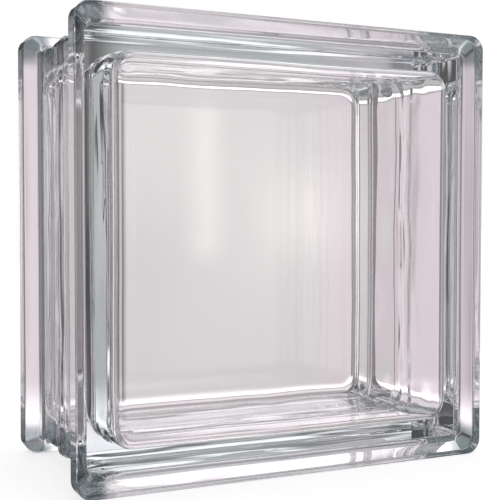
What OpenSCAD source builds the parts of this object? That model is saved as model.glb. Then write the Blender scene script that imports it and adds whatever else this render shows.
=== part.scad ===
// Hollow glass building block: two pressed glass pans fused rim to rim into one sealed piece.
// It stands on edge. X runs across the faces, Y from the front face to the back face, and Z up.
// The origin is the middle of the footprint, on the plane that the block stands on.

/* [Block] */
// Width and height of the two square faces
face_size = 197; // [150:1:240]
// Depth from the front face to the back face
block_depth = 98; // [80:1:125]

/* [Faces] */
// Thickness of the glass in each face
face_wall = 8; // [6:0.5:12]
// Width of the flat rim round each face, from the face to the groove
rim_width = 9.5; // [8:0.5:12]
// Corner radius of the faces' square outline
flange_corner_r = 7; // [5:0.5:10]
// Rounding between a face and its rim
rim_edge_r = 1; // [0.5:0.25:2]

/* [Side walls] */
// Depth of the mortar groove between the flanges
groove_depth = 7.5; // [6:0.5:9]
// Slope of the groove's sides, in degrees from the plane of the faces
groove_slope = 40; // [30:1:45]
// Corner radius of the side walls' square outline
wall_corner_r = 3; // [2:0.5:8]
// Hollow rounding between a side wall and the groove's slope
cove_r = 8; // [3:0.5:10]
// Thickness of the side walls beside the faces
side_wall = 9.5; // [7:0.5:13]
// How much thinner the side walls are at the seam than beside the faces
wall_draft = 1.5; // [0.5:0.25:3]

/* [Sealed hollow] */
// Corner radius of the hollow's square outline, beside the faces
hollow_corner_r = 9; // [7:0.5:14]
// Rounding between a face's inner side and the side walls
hollow_edge_r = 4; // [2:0.5:6]

/* [Fused seam] */
// Width of the fused ridge round the middle of the side walls
seam_width = 10; // [6:0.5:14]
// Height of the ridge in the mortar groove
seam_height_out = 1.2; // [0.5:0.1:2]
// Height of the ridge inside the hollow
seam_height_in = 1; // [0.5:0.1:2]

/* [Hidden] */
$fn = 64;
face_half = face_size / 2;
depth_half = block_depth / 2;
wall_half = face_half - groove_depth;
hollow_half = wall_half - side_wall;
slope_foot = rim_width + groove_depth * tan(groove_slope);
draft_angle = atan(wall_draft / (depth_half - face_wall));
cut_margin = 1;

// Radius of the circle of which a ridge of this width and height is a slice
function ridge_r(width, height) = (width * width / 4 + height * height) / (2 * height);

// Sweeps the 2D children round a square outline that is half wide each way, with round corners.
// Their x runs outwards from a corner's axis, and their y along the depth.
module round_square(half, corner_r) {
    axis = half - corner_r;
    for (turn = [0 : 90 : 270])
        rotate(turn) translate([axis, axis, 0]) {
            rotate_extrude(angle = 90) children();
            rotate([90, 0, 0]) linear_extrude(2 * axis) children();
        }
}

// Fills the middle of a swept outline over a stretch of the depth
module core(half, corner_r, from, to) {
    axis = half - corner_r;
    translate([-axis, -axis, from]) cube([2 * axis, 2 * axis, to - from]);
}

// What a rounding of radius r takes off a square edge at the origin that fills -x and +y
module edge_cut(r) {
    difference() {
        translate([-r, -cut_margin]) square([r + cut_margin, r + cut_margin]);
        translate([-r, r]) circle(r);
    }
}

// Both faces with their rims, as one solid without the groove and the hollow
module full_block() {
    round_square(face_half, flange_corner_r)
        difference() {
            square([flange_corner_r, block_depth]);
            translate([flange_corner_r, 0]) edge_cut(rim_edge_r);
            translate([flange_corner_r, block_depth]) mirror([0, 1]) edge_cut(rim_edge_r);
        }
    core(face_half, flange_corner_r, 0, block_depth);
}

// The glass that rounds off the foot of the groove's slope
module cove() {
    axis = [wall_corner_r + cove_r, slope_foot + cove_r * tan(45 - groove_slope / 2)];
    to_slope = [-sin(groove_slope), -cos(groove_slope)];
    difference() {
        polygon([
            axis,
            [wall_corner_r - cut_margin, axis[1]],
            [wall_corner_r - cut_margin, slope_foot - cut_margin * tan(45 - groove_slope / 2)],
            axis + (cove_r + cut_margin) * to_slope
        ]);
        translate(axis) circle(cove_r);
    }
}

// The mortar groove, which widens outwards and leaves the ridge on the seam standing
module groove() {
    ridge = ridge_r(seam_width, seam_height_out);
    corner_gap = groove_depth + wall_corner_r - flange_corner_r;
    reach = max(groove_depth + wall_corner_r, sqrt(2) * corner_gap + flange_corner_r) + cut_margin;
    lip = slope_foot - (reach - wall_corner_r) * tan(groove_slope);
    round_square(wall_half, wall_corner_r)
        difference() {
            polygon([
                [wall_corner_r, slope_foot],
                [reach, lip],
                [reach, block_depth - lip],
                [wall_corner_r, block_depth - slope_foot]
            ]);
            cove();
            translate([0, block_depth]) mirror([0, 1]) cove();
            translate([wall_corner_r + seam_height_out - ridge, depth_half]) circle(ridge);
        }
}

// What rounds the hollow's edge beside a face, where the drafted wall starts
module hollow_edge_cut() {
    axis = [hollow_corner_r - hollow_edge_r * (1 - sin(draft_angle)) / cos(draft_angle),
            face_wall + hollow_edge_r];
    outwards = [cos(draft_angle), -sin(draft_angle)];
    difference() {
        polygon([
            axis,
            [axis[0], face_wall - cut_margin],
            [hollow_corner_r + cut_margin, face_wall - cut_margin],
            axis + (hollow_edge_r + cut_margin) * outwards
        ]);
        translate(axis) circle(hollow_edge_r);
    }
}

// The sealed space between the two pans, drafted from the faces to the seam
module hollow() {
    ridge = ridge_r(seam_width, seam_height_in);
    widest = hollow_corner_r + wall_draft;
    round_square(hollow_half, hollow_corner_r)
        difference() {
            polygon([
                [0, face_wall],
                [hollow_corner_r, face_wall],
                [widest, depth_half],
                [hollow_corner_r, block_depth - face_wall],
                [0, block_depth - face_wall]
            ]);
            hollow_edge_cut();
            translate([0, block_depth]) mirror([0, 1]) hollow_edge_cut();
            translate([widest - seam_height_in + ridge, depth_half]) circle(ridge);
        }
    core(hollow_half, hollow_corner_r, face_wall, block_depth - face_wall);
}

// The whole block, sealed
module glass_block() {
    color([0.93, 0.86, 0.89, 0.45])
        translate([0, -depth_half, face_half]) rotate([-90, 0, 0])
            difference() {
                full_block();
                groove();
                hollow();
            }
}

glass_block();
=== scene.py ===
"""Hollow glass block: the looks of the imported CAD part, with its stage, lights and camera."""
import math

import bmesh
import bpy
from mathutils import Matrix, Vector, noise


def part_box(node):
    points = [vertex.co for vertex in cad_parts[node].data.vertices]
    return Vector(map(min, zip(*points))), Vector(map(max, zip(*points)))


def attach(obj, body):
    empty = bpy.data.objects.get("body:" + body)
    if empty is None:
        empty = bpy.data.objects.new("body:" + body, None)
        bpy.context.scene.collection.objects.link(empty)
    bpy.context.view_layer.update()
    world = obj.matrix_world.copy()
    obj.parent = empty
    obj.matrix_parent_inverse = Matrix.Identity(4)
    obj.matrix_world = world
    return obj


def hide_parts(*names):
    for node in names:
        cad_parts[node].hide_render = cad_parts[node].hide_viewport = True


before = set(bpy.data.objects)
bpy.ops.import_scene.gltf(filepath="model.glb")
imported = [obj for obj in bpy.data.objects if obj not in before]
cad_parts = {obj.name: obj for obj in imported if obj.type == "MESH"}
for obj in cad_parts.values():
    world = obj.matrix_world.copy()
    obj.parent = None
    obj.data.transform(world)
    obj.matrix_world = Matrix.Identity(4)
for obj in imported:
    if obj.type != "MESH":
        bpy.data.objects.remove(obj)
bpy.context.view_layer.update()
MM = 0.001

# ---------------------------------------------------------------- sizes, in millimetres
LOW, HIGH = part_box("glass_block")
FACE_HALF = (HIGH.x - LOW.x) / 2 / MM
DEPTH = (HIGH.y - LOW.y) / MM
MID_HEIGHT = (HIGH.z + LOW.z) / 2 / MM
FRONT = LOW.y / MM

# The same sizes as in the CAD source.
FACE_WALL = 8.0
FLANGE_CORNER_R = 7.0
RIM_FACE_R = 1.0
GROOVE_DEPTH = 7.5
GROOVE_SLOPE = 40.0
WALL_CORNER_R = 3.0
COVE_R = 8.0
SIDE_WALL = 9.5
WALL_DRAFT = 1.5
HOLLOW_CORNER_R = 9.0
HOLLOW_EDGE_R = 4.0
SEAM_WIDTH = 10.0
SEAM_OUT = 1.2
SEAM_IN = 1.0

# What the CAD source leaves plain: the rounding from the rim to the slope, and the bead's flanks.
# The rim is 9.5 wide in the CAD source. Here its flat ends where the rounding starts.
RIM_GROOVE_R = 3.0
RIM_FLAT_END = 8.1
SEAM_FLANK = 3.2

WALL_HALF = FACE_HALF - GROOVE_DEPTH
HOLLOW_HALF = WALL_HALF - SIDE_WALL

# ---------------------------------------------------------------- mesh density
CORNER_STEPS = 16
SIDE_STEPS = 60
ARC_STEPS = 10
OUTER_WALL_STEPS = 34
HOLLOW_WALL_STEPS = 38
SUPPORT = 0.25        # from an edge to the ring that keeps it crisp
PATCH_MARGIN = 1.5    # from a rounding to the ring that the face's grid starts on

# ---------------------------------------------------------------- waves of the pressed glass
# Heights and reaches are in millimetres. Scales are in noise cells a millimetre. A bare whole
# number in a noise place further down only picks another part of the noise.
RIPPLE_HEIGHT = 0.30
RIPPLE_FINE_HEIGHT = 0.03
RIPPLE_ALONG = 0.022
RIPPLE_ACROSS = 0.055
RIPPLE_FINE_ALONG = 2.5 * RIPPLE_ALONG
RIPPLE_FINE_ACROSS = 3 * RIPPLE_ACROSS
FRONT_FADE = 24.0
BACK_FADE = 8.0
FLANK_WAVE = 1.0      # the share of the ripples in the middle of a slope
SEAM_WANDER = 1.8
SEAM_FINE_WANDER = 0.9
SEAM_SCALE = 0.02
SEAM_FINE_SCALE = 0.06
EDGE_WANDER_FRONT = 0.25
EDGE_WANDER_BACK = 1.0
EDGE_FINE_SHARE = 0.35
EDGE_SCALE = 0.018
EDGE_FINE_SCALE = 0.05
EDGE_FADE = 30.0
CRINKLE = 0.9
CRINKLE_REACH = 14.0
CRINKLE_SCALE = 0.11
PANE_DIP = 0.10
PANE_FINE_DIP = 0.015
PANE_SCALE = (0.016, 0.009)
PANE_FINE_SCALE = (0.05, 0.025)
PANE_FADE = 8.0       # full height at one part in this many from the pane's edge

# ---------------------------------------------------------------- glass
GLASS_IOR = 1.52
GLASS_COLOUR = (1.0, 0.975, 0.99, 1)
# Painted shade: near the flange's corners the glass colour turns grey-teal, for the light that the
# flanges bend away.
PAINTED_SHADE_COLOUR = (0.30, 0.35, 0.36, 1)
PAINTED_SHADE_REACH = 13.0
PAINTED_SHADE_FULL = 7.0
PAINTED_SHADE_WOBBLE = 6.0
GRAIN_SCALE = 40.0    # noise cells a metre
GRAIN_RELIEF = 0.000002
HAZE_FROM = 0.55      # the grain's value where the haze starts, and where it is full
HAZE_FULL = 0.80
HAZE_ROUGHNESS = 0.012
ABSORPTION_COLOUR = (0.50, 0.575, 0.595, 1)
ABSORPTION_DENSITY = 10.0

# ---------------------------------------------------------------- stage and camera
FLOOR_REACH = 6.0
FLOOR_COLOUR = (0.8, 0.8, 0.8, 1)
FLOOR_LIFT = 0.65
WHITE = (1, 1, 1, 1)
LIGHT_BOUNCES = 32
SENSOR_WIDTH = 36.0
LENS = 72.28
CAMERA_ASIDE = -205.3     # from the block's middle
CAMERA_BEFORE = 381.3     # from the front face
CAMERA_ABOVE = 15.0       # from the block's middle
CAMERA_TURN = 25.53
CAMERA_DOWN = 2.04
CAMERA_ROLL = 0.05

# ---------------------------------------------------------------- surroundings
NEUTRAL = (0.99, 1.00, 0.98)
BLUSH = (1.00, 0.97, 0.99)
PALE_PINK = (1.00, 0.94, 0.97)
PINK = (1.00, 0.90, 0.95)
WARM = (1.00, 0.98, 0.93)
CREAM = (1.00, 0.96, 0.80)
COOL = (0.93, 0.96, 1.00)

# Each row: azimuth, elevation, half width, half height and softness in degrees, colour, strength.
# Azimuth 0 is along +X and 90 along +Y. The camera looks towards azimuth 64.
STUDIO = [
    (0, 0, 400, 400, 10, BLUSH, 0.05),        # the room's own dimness
    (66.5, -1, 6, 12, 1.5, NEUTRAL, 0.62),    # wall behind the block
    (58.5, -1, 2, 12, 1.5, PINK, 0.65),
    (63, 1, 3, 5, 4, WARM, 0.10),
    (50, -1, 6, 12, 3, PINK, 0.75),
    (79, -1, 4, 12, 2, PINK, 0.60),
    (60, 17.5, 25, 4.5, 2, BLUSH, 1.65),      # upper part of the wall
    (60, 38, 25, 14, 5, NEUTRAL, 0.45),
    (54, -15.5, 22, 4.5, 2, BLUSH, 1.35),     # table behind the block
    (84, -15.5, 8, 4.5, 2, BLUSH, 0.90),
    (62, -29, 30, 7, 3, PALE_PINK, 0.85),
    (62, -46, 30, 10, 5, PALE_PINK, 0.35),
    (33, 0, 7, 14, 5, PINK, 0.20),            # right of the block
    (7, 0, 8, 14, 6, PALE_PINK, 0.25),
    (90, 0, 6, 12, 3, PALE_PINK, 0.15),       # left of the block
    (106, 0, 4, 12, 2, PINK, 0.65),
    (142, 0, 8, 16, 6, PINK, 0.90),
    (140, -32, 35, 14, 10, PINK, 0.80),
    (-60, 2, 14, 16, 8, WARM, 1.20),          # window in front, on the right
    (-67, 2, 0.7, 4.5, 1, WARM, 0.90),
    (-61, 0, 2, 2, 2, CREAM, 1.20),
    (-71, 8, 4, 8, 4, WARM, 0.60),
    (-34, -6, 8, 24, 8, BLUSH, 0.50),         # room on the right
    (-20, 5, 12, 24, 8, PINK, 0.40),
    (5, 28, 30, 12, 8, PALE_PINK, 0.60),
    (15, -35, 18, 12, 8, PALE_PINK, 0.80),
    (-155, 5, 50, 30, 12, BLUSH, 0.80),       # room in front, on the left
    (-130, -40, 70, 20, 12, BLUSH, 0.80),     # floor in front
    (-50, 48, 60, 18, 12, COOL, 0.75),        # ceiling
    (120, 50, 50, 16, 12, BLUSH, 0.60),
    (0, 90, 400, 30, 12, COOL, 0.45),
    (0, -90, 400, 30, 12, PALE_PINK, 0.95),
]


# ================================================================ shape
class Ring:
    """A square outline with round corners, at one depth behind the front face.

    A ring on a side wall says at what depth that wall starts. Any other ring says its share of
    the ripples.
    """

    def __init__(self, half, corner_r, depth, wall_start=None, wave=0.0):
        self.half = half
        self.corner_r = corner_r
        self.depth = depth
        self.wall_start = wall_start
        self.wave = wave

    def waviness(self):
        """The share of the ripples here. On a side wall it grows from the flanges inwards."""
        if self.wall_start is None:
            return self.wave
        from_front = (self.depth - self.wall_start) / FRONT_FADE
        from_back = (DEPTH - self.wall_start - self.depth) / BACK_FADE
        return max(0.0, min(1.0, from_front, from_back))

    def points(self):
        """(x, z, outward x, outward z) all the way round, from one corner's diagonal."""
        axis = self.half - self.corner_r
        side = []
        for i in range(CORNER_STEPS // 2):
            turn = math.radians(-45 + 90 * i / CORNER_STEPS)
            side.append((axis + self.corner_r * math.cos(turn),
                         -axis + self.corner_r * math.sin(turn), math.cos(turn), math.sin(turn)))
        for i in range(SIDE_STEPS):
            side.append((self.half, axis * (2 * i / SIDE_STEPS - 1), 1.0, 0.0))
        for i in range(CORNER_STEPS // 2):
            turn = math.radians(90 * i / CORNER_STEPS)
            side.append((axis + self.corner_r * math.cos(turn),
                         axis + self.corner_r * math.sin(turn), math.cos(turn), math.sin(turn)))
        found = []
        for quarter in range(4):
            c, s = (1, 0, -1, 0)[quarter], (0, 1, 0, -1)[quarter]
            found += [(x * c - z * s, x * s + z * c, u * c - v * s, u * s + v * c)
                      for x, z, u, v in side]
        return found


def arc(centre_half, centre_depth, radius, start, end, corner_offset, steps=ARC_STEPS):
    """Rings along a quarter turn of the profile. Angle 0 points outwards, and 90 to the back."""
    rings = []
    for i in range(steps + 1):
        turn = math.radians(start + (end - start) * i / steps)
        half = centre_half + radius * math.cos(turn)
        rings.append(Ring(half, half - corner_offset, centre_depth + radius * math.sin(turn)))
    return rings


def mirrored(rings):
    """The same rings from the middle on to the back face."""
    return [Ring(r.half, r.corner_r, DEPTH - r.depth, r.wall_start, r.wave)
            for r in reversed(rings)]


def outer_rings():
    """The block's outside, from the front face's edge to the middle."""
    flange_axis = FACE_HALF - FLANGE_CORNER_R
    rounding = RIM_FACE_R + PATCH_MARGIN
    rings = [Ring(FACE_HALF - rounding, FLANGE_CORNER_R - rounding, 0.0)]
    rings += arc(FACE_HALF - RIM_FACE_R, RIM_FACE_R, RIM_FACE_R, -90, 0, flange_axis)
    rings += [Ring(FACE_HALF, FLANGE_CORNER_R, RIM_FACE_R + SUPPORT),
              Ring(FACE_HALF, FLANGE_CORNER_R, RIM_FLAT_END - SUPPORT)]
    slope = math.radians(GROOVE_SLOPE)
    radii = RIM_GROOVE_R + COVE_R
    straight = (FACE_HALF - WALL_HALF - radii * (1 - math.sin(slope))) * math.tan(slope)
    cove_depth = RIM_FLAT_END + radii * math.cos(slope) + straight
    flank = arc(FACE_HALF - RIM_GROOVE_R, RIM_FLAT_END, RIM_GROOVE_R, 0, 90 - GROOVE_SLOPE,
                flange_axis)
    flank += arc(WALL_HALF + COVE_R, cove_depth, COVE_R, 270 - GROOVE_SLOPE, 180, 0)
    for ring in flank:
        inwards = (FACE_HALF - ring.half) / (FACE_HALF - WALL_HALF)
        ring.corner_r = FLANGE_CORNER_R + (WALL_CORNER_R - FLANGE_CORNER_R) * inwards
        ring.wave = FLANK_WAVE * math.sin(math.pi * inwards)
    rings += flank
    for i in range(1, OUTER_WALL_STEPS + 1):
        depth = cove_depth + (DEPTH / 2 - cove_depth) * i / OUTER_WALL_STEPS
        rings.append(Ring(WALL_HALF, WALL_CORNER_R, depth, cove_depth))
    return rings


def inner_rings():
    """The hollow, from the front face's inner side to the middle."""
    hollow_axis = HOLLOW_HALF - HOLLOW_CORNER_R
    edge_axis = HOLLOW_HALF - HOLLOW_EDGE_R
    rings = [Ring(edge_axis - PATCH_MARGIN, HOLLOW_CORNER_R - HOLLOW_EDGE_R - PATCH_MARGIN,
                  FACE_WALL)]
    rings += arc(edge_axis, FACE_WALL + HOLLOW_EDGE_R, HOLLOW_EDGE_R, -90, 0, hollow_axis)
    start = FACE_WALL + HOLLOW_EDGE_R
    for i in range(1, HOLLOW_WALL_STEPS + 1):
        depth = start + (DEPTH / 2 - start) * i / HOLLOW_WALL_STEPS
        half = HOLLOW_HALF + WALL_DRAFT * i / HOLLOW_WALL_STEPS
        rings.append(Ring(half, half - hollow_axis, depth, start))
    return rings


def place(x, z, depth):
    """A point in metres, from millimetres across, above the middle and behind the front face."""
    return Vector((x * MM, (FRONT + depth) * MM, (MID_HEIGHT + z) * MM))


def ripple(x, z, depth, skin):
    """How far a side wall's surface stands out at this place: flow lines along the wall."""
    lines = noise.noise(Vector((x * RIPPLE_ALONG + 11 * skin, z * RIPPLE_ALONG,
                                depth * RIPPLE_ACROSS)))
    fine = noise.noise(Vector((x * RIPPLE_FINE_ALONG, z * RIPPLE_FINE_ALONG + 7 * skin,
                               depth * RIPPLE_FINE_ACROSS)))
    return RIPPLE_HEIGHT * lines + RIPPLE_FINE_HEIGHT * fine


def corner_crinkle(x, z, depth, skin):
    """The chill marks of the mould in the four corners, where the glass is thickest."""
    start = (WALL_HALF, HOLLOW_HALF)[skin] - CRINKLE_REACH
    share = min(1.0, max(0.0, (min(abs(x), abs(z)) - start) / CRINKLE_REACH))
    spot = Vector((x * CRINKLE_SCALE, z * CRINKLE_SCALE, depth * CRINKLE_SCALE + 40 * skin))
    return CRINKLE * share * noise.noise(spot)


def edge_wander(x, z, depth):
    """How far the hollow's edges leave their straight way, the back one the most."""
    to_back = depth / DEPTH
    reach = EDGE_WANDER_FRONT + (EDGE_WANDER_BACK - EDGE_WANDER_FRONT) * to_back
    from_edge = min(depth - FACE_WALL, DEPTH - FACE_WALL - depth) - HOLLOW_EDGE_R
    fade = 1 - min(1.0, max(0.0, from_edge / EDGE_FADE))
    pan = round(to_back)
    bend = noise.noise(Vector((x * EDGE_SCALE, z * EDGE_SCALE, 21 + pan)))
    fine = noise.noise(Vector((x * EDGE_FINE_SCALE, z * EDGE_FINE_SCALE, 31 + pan)))
    return reach * fade * (bend + EDGE_FINE_SHARE * fine)


def seam_bead(x, z, depth, skin):
    """The fused ridge on the seam: its top is flat, and it wanders a little along its way."""
    slow = noise.noise(Vector((x * SEAM_SCALE, z * SEAM_SCALE, 3 + skin)))
    fine = noise.noise(Vector((x * SEAM_FINE_SCALE, z * SEAM_FINE_SCALE, 5 + skin)))
    wander = SEAM_WANDER * slow + SEAM_FINE_WANDER * fine
    rise = (SEAM_WIDTH / 2 - abs(depth - DEPTH / 2 - wander)) / SEAM_FLANK
    rise = min(1.0, max(0.0, rise))
    return (SEAM_OUT, -SEAM_IN)[skin] * rise * rise * (3 - 2 * rise)


def pane_wave(x, z, pane):
    """How far a face dips at this place: the slow waves of pressed glass."""
    slow = noise.noise(Vector((x * PANE_SCALE[0], z * PANE_SCALE[1], 2 * pane)))
    fine = noise.noise(Vector((x * PANE_FINE_SCALE[0], z * PANE_FINE_SCALE[1], 2 * pane + 9)))
    return PANE_DIP * (1 + slow) + PANE_FINE_DIP * (1 + fine)


def add_skin(bm, rings, skin, inwards):
    """One closed skin, 0 outside and 1 in the hollow: rings, and a patch at each end."""
    loops = []
    for ring in rings:
        loop = []
        for x, z, u, v in ring.points():
            waves = ripple(x, z, ring.depth, skin) + corner_crinkle(x, z, ring.depth, skin)
            out = ring.waviness() * waves + seam_bead(x, z, ring.depth, skin)
            if skin == 1:
                out += edge_wander(x, z, ring.depth)
            loop.append(bm.verts.new(place(x + out * u, z + out * v, ring.depth)))
        loops.append(loop)
    count = len(loops[0])
    faces = []
    for a, b in zip(loops, loops[1:]):
        for i in range(count):
            j = (i + 1) % count
            faces.append(bm.faces.new((a[i], a[j], b[j], b[i])))
    faces += add_patch(bm, loops[0], 2 * skin, 1)
    faces += add_patch(bm, loops[-1], 2 * skin + 1, -1)
    bmesh.ops.recalc_face_normals(bm, faces=faces)
    if inwards:
        bmesh.ops.reverse_faces(bm, faces=faces)


def add_patch(bm, loop, pane, inwards):
    """Fills a ring with a grid, a Coons patch over its four sides, that waves a little."""
    steps = len(loop) // 4
    sides = [loop[k * steps:(k + 1) * steps] + [loop[(k + 1) * steps % len(loop)]]
             for k in range(4)]
    right, top, left, bottom = sides[0], sides[1][::-1], sides[2][::-1], sides[3]
    grid = [[None] * (steps + 1) for _ in range(steps + 1)]
    for i in range(steps + 1):
        grid[i][0], grid[i][steps] = bottom[i], top[i]
        grid[0][i], grid[steps][i] = left[i], right[i]
    for i in range(1, steps):
        for j in range(1, steps):
            u, v = i / steps, j / steps
            point = ((1 - v) * bottom[i].co + v * top[i].co + (1 - u) * left[j].co + u * right[j].co
                     - (1 - u) * (1 - v) * bottom[0].co - u * (1 - v) * bottom[steps].co
                     - (1 - u) * v * top[0].co - u * v * top[steps].co)
            fade = min(1.0, PANE_FADE * min(u, 1 - u, v, 1 - v)) ** 2
            point.y += inwards * fade * pane_wave(point.x / MM, point.z / MM, pane) * MM
            grid[i][j] = bm.verts.new(point)
    return [bm.faces.new((grid[i][j], grid[i + 1][j], grid[i + 1][j + 1], grid[i][j + 1]))
            for i in range(steps) for j in range(steps)]


def mesh_object(bm, name):
    """An object in the scene from a finished bmesh."""
    mesh = bpy.data.meshes.new(name)
    bm.to_mesh(mesh)
    bm.free()
    made = bpy.data.objects.new(name, mesh)
    bpy.context.scene.collection.objects.link(made)
    return made


def make_block():
    bm = bmesh.new()
    half = outer_rings()
    add_skin(bm, half + mirrored(half)[1:], 0, inwards=False)
    half = inner_rings()
    add_skin(bm, half + mirrored(half)[1:], 1, inwards=True)
    for face in bm.faces:
        face.smooth = True
    return mesh_object(bm, "glass")


# ================================================================ materials
def empty_material(name):
    material = bpy.data.materials.new(name)
    material.use_nodes = True
    material.node_tree.nodes.clear()
    return material


def math_node(tree, operation, *values):
    """A Math node on these numbers and sockets."""
    node = tree.nodes.new("ShaderNodeMath")
    node.operation = operation
    for socket, value in zip(node.inputs, values):
        if isinstance(value, (int, float)):
            socket.default_value = value
        else:
            tree.links.new(value, socket)
    return node.outputs["Value"]


def map_range(tree, value, start, end, full=1.0, kind="SMOOTHSTEP"):
    """A Map Range node: nothing at the start, and all of it at the end."""
    node = tree.nodes.new("ShaderNodeMapRange")
    node.interpolation_type = kind
    tree.links.new(value, node.inputs["Value"])
    node.inputs["From Min"].default_value = start
    node.inputs["From Max"].default_value = end
    node.inputs["To Min"].default_value = 0.0
    node.inputs["To Max"].default_value = full
    return node.outputs["Result"]


def painted_corner_shade(tree, spot, grain):
    """The glass colour: clear, with painted shade in the corners for the light that the flanges
    bend away.
    """
    nodes, links = tree.nodes, tree.links
    parts = nodes.new("ShaderNodeSeparateXYZ")
    links.new(spot, parts.inputs[0])
    aside = math_node(tree, "ABSOLUTE", parts.outputs["X"])
    up = math_node(tree, "SUBTRACT", parts.outputs["Z"], MID_HEIGHT * MM)
    nearest = math_node(tree, "MINIMUM", aside, math_node(tree, "ABSOLUTE", up))
    wobble = math_node(tree, "MULTIPLY", grain, PAINTED_SHADE_WOBBLE * MM)
    share = map_range(tree, math_node(tree, "ADD", nearest, wobble),
                      (FACE_HALF - PAINTED_SHADE_REACH) * MM, (FACE_HALF - PAINTED_SHADE_FULL) * MM)
    mix = nodes.new("ShaderNodeMix")
    mix.data_type = "RGBA"
    mix.inputs["A"].default_value = GLASS_COLOUR
    mix.inputs["B"].default_value = PAINTED_SHADE_COLOUR
    links.new(share, mix.inputs["Factor"])
    return mix.outputs["Result"]


def glass_material():
    material = empty_material("pink_glass")
    tree = material.node_tree
    nodes, links = tree.nodes, tree.links
    out = nodes.new("ShaderNodeOutputMaterial")
    shader = nodes.new("ShaderNodeBsdfPrincipled")
    shader.inputs["Transmission Weight"].default_value = 1.0
    shader.inputs["IOR"].default_value = GLASS_IOR
    links.new(shader.outputs["BSDF"], out.inputs["Surface"])
    spot = nodes.new("ShaderNodeTexCoord").outputs["Object"]
    grain = nodes.new("ShaderNodeTexNoise")
    grain.inputs["Scale"].default_value = GRAIN_SCALE
    grain.inputs["Detail"].default_value = 1.0
    links.new(spot, grain.inputs["Vector"])
    # The base colour carries painted shade: grey-teal in the corners.
    links.new(painted_corner_shade(tree, spot, grain.outputs["Fac"]), shader.inputs["Base Color"])
    relief = nodes.new("ShaderNodeBump")
    relief.inputs["Strength"].default_value = 1.0
    relief.inputs["Distance"].default_value = GRAIN_RELIEF
    links.new(grain.outputs["Fac"], relief.inputs["Height"])
    links.new(relief.outputs["Normal"], shader.inputs["Normal"])
    haze = map_range(tree, grain.outputs["Fac"], HAZE_FROM, HAZE_FULL, HAZE_ROUGHNESS, "LINEAR")
    links.new(haze, shader.inputs["Roughness"])
    volume = nodes.new("ShaderNodeVolumeAbsorption")
    volume.inputs["Color"].default_value = ABSORPTION_COLOUR
    volume.inputs["Density"].default_value = ABSORPTION_DENSITY
    links.new(volume.outputs["Volume"], out.inputs["Volume"])
    return material


def floor_material():
    """A pale matt floor that only the camera sees: the glass sees the soft surroundings."""
    material = empty_material("pale_floor")
    nodes, links = material.node_tree.nodes, material.node_tree.links
    seen = nodes.new("ShaderNodeBsdfDiffuse")
    seen.inputs["Color"].default_value = FLOOR_COLOUR
    lift = nodes.new("ShaderNodeEmission")
    lift.inputs["Color"].default_value = WHITE
    lift.inputs["Strength"].default_value = FLOOR_LIFT
    both = nodes.new("ShaderNodeAddShader")
    links.new(seen.outputs["BSDF"], both.inputs[0])
    links.new(lift.outputs["Emission"], both.inputs[1])
    inside = nodes.new("ShaderNodeBsdfTransparent")
    ray = nodes.new("ShaderNodeLightPath")
    mix = nodes.new("ShaderNodeMixShader")
    links.new(ray.outputs["Is Camera Ray"], mix.inputs["Fac"])
    links.new(inside.outputs["BSDF"], mix.inputs[1])
    links.new(both.outputs["Shader"], mix.inputs[2])
    out = nodes.new("ShaderNodeOutputMaterial")
    links.new(mix.outputs["Shader"], out.inputs["Surface"])
    return material


# ================================================================ stage, lights and camera
def make_stage():
    bm = bmesh.new()
    bmesh.ops.create_grid(bm, x_segments=8, y_segments=8, size=FLOOR_REACH)
    floor = mesh_object(bm, "floor")
    floor.data.materials.append(floor_material())


def soft_box(tree, direction, azimuth, elevation, half_wide, half_high, soft, colour, strength):
    """A soft-edged patch of the surroundings, in degrees, as a colour times a weight."""
    def edge(value, half):
        return map_range(tree, value, math.radians(half + soft), math.radians(half - soft))

    turned = math_node(tree, "SUBTRACT", direction["azimuth"], math.radians(azimuth))
    turned = math_node(tree, "WRAP", turned, math.pi, -math.pi)
    across = edge(math_node(tree, "ABSOLUTE", turned), half_wide)
    up = math_node(tree, "SUBTRACT", direction["elevation"], math.radians(elevation))
    weight = math_node(tree, "MULTIPLY", across, edge(math_node(tree, "ABSOLUTE", up), half_high))
    weight = math_node(tree, "MULTIPLY", weight, strength)
    scaled = tree.nodes.new("ShaderNodeVectorMath")
    scaled.operation = "SCALE"
    scaled.inputs[0].default_value = colour
    tree.links.new(weight, scaled.inputs["Scale"])
    return scaled.outputs["Vector"]


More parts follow.
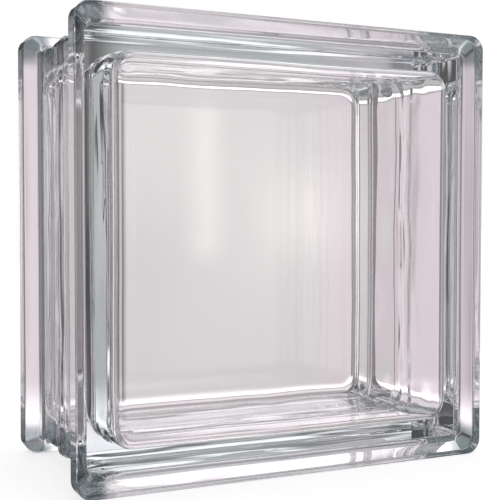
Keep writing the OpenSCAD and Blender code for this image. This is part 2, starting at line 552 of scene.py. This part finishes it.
def make_world():
    """The studio: plain white to the camera, and the soft patches of STUDIO to everything else."""
    world = bpy.data.worlds.new("studio")
    bpy.context.scene.world = world
    world.use_nodes = True
    tree = world.node_tree
    nodes, links = tree.nodes, tree.links
    nodes.clear()
    outwards = nodes.new("ShaderNodeTexCoord").outputs["Generated"]
    parts = nodes.new("ShaderNodeSeparateXYZ")
    links.new(outwards, parts.inputs[0])
    direction = {"azimuth": math_node(tree, "ARCTAN2", parts.outputs["Y"], parts.outputs["X"]),
                 "elevation": math_node(tree, "ARCSINE", parts.outputs["Z"])}
    total = None
    for box in STUDIO:
        patch = soft_box(tree, direction, *box)
        if total is None:
            total = patch
        else:
            add = nodes.new("ShaderNodeVectorMath")
            links.new(total, add.inputs[0])
            links.new(patch, add.inputs[1])
            total = add.outputs["Vector"]
    seen = nodes.new("ShaderNodeBackground")
    seen.inputs["Color"].default_value = WHITE
    lit = nodes.new("ShaderNodeBackground")
    links.new(total, lit.inputs["Color"])
    ray = nodes.new("ShaderNodeLightPath")
    mix = nodes.new("ShaderNodeMixShader")
    links.new(ray.outputs["Is Camera Ray"], mix.inputs["Fac"])
    links.new(lit.outputs["Background"], mix.inputs[1])
    links.new(seen.outputs["Background"], mix.inputs[2])
    out = nodes.new("ShaderNodeOutputWorld")
    links.new(mix.outputs["Shader"], out.inputs["Surface"])


def make_camera():
    data = bpy.data.cameras.new("camera")
    data.sensor_width = SENSOR_WIDTH
    data.lens = LENS
    camera = bpy.data.objects.new("camera", data)
    bpy.context.scene.collection.objects.link(camera)
    spot = Vector((CAMERA_ASIDE, FRONT - CAMERA_BEFORE, MID_HEIGHT + CAMERA_ABOVE)) * MM
    camera.matrix_world = (Matrix.Translation(spot)
                           @ Matrix.Rotation(math.radians(-CAMERA_TURN), 4, "Z")
                           @ Matrix.Rotation(math.radians(90 - CAMERA_DOWN), 4, "X")
                           @ Matrix.Rotation(math.radians(CAMERA_ROLL), 4, "Z"))
    bpy.context.scene.camera = camera


def let_light_through():
    """Light takes many turns inside glass this thick before it leaves."""
    cycles = bpy.context.scene.cycles
    cycles.max_bounces = LIGHT_BOUNCES
    cycles.glossy_bounces = LIGHT_BOUNCES
    cycles.transmission_bounces = LIGHT_BOUNCES


block = make_block()
block.data.materials.append(glass_material())
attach(block, "root")
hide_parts("glass_block")
make_stage()
make_world()
make_camera()
let_light_through()
bpy.context.scene.view_settings.view_transform = "Standard"
